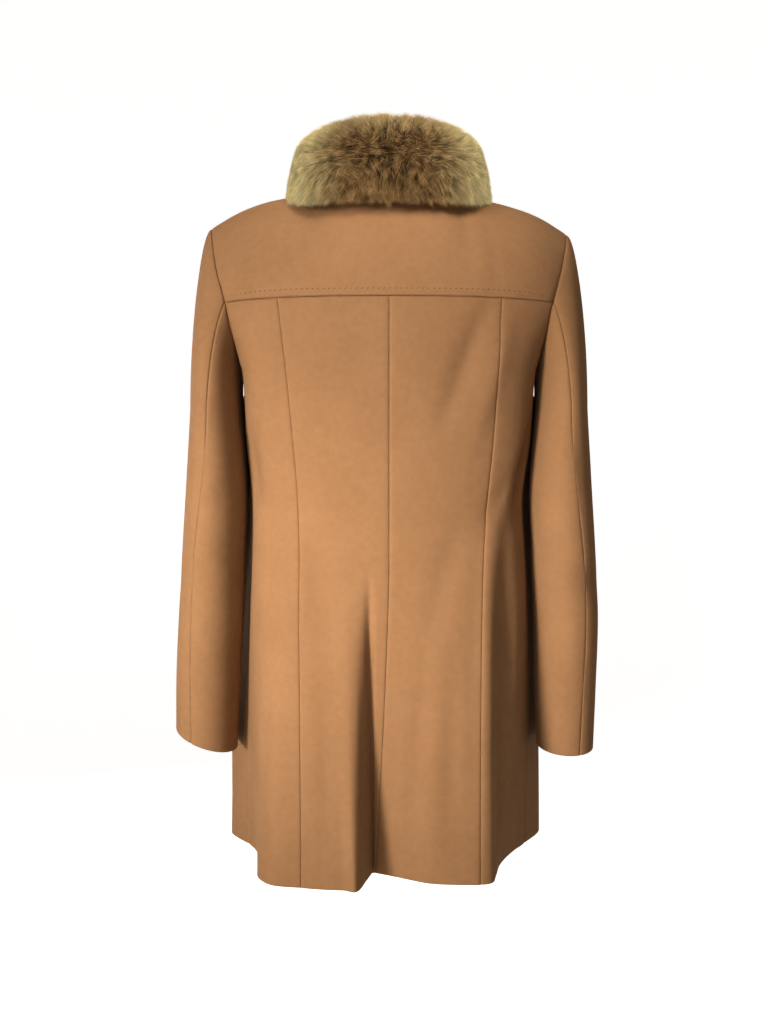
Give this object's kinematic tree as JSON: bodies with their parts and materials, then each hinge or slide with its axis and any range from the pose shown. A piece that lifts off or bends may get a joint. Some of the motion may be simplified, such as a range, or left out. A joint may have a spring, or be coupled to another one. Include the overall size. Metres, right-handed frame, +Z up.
{
  "type": "cashmere coat with fur collar",
  "caption": "Camel cashmere coat with an upright fur collar, back yoke, shaped back panels, two-piece sleeves and a flared, folded hem, filled out as worn.",
  "frame": {"origin": "the middle of the neck opening, level with the shoulder line, where the wearer's neck passes through", "axes": "+Z up, -Y to the coat's front, +X to the wearer's left"},
  "size_m": [0.5271, 0.3397, 0.8881],
  "materials": {
    "cloth": "smooth felted cashmere with a faint nap",
    "fur": "long soft fur",
    "button": "plain horn-brown button"
  },
  "bodies": {
    "root": {"back_side_left": "cloth", "back_centre_left": "cloth", "back_centre_right": "cloth", "back_side_right": "cloth", "back_yoke": "cloth", "front_right": "cloth", "front_left": "cloth", "sleeve_upper_left": "cloth", "sleeve_under_left": "cloth", "sleeve_upper_right": "cloth", "sleeve_under_right": "cloth", "fur_collar": "fur", "button_1": "button", "button_2": "button", "button_3": "button", "button_4": "button"}
  },
  "joints": []
}
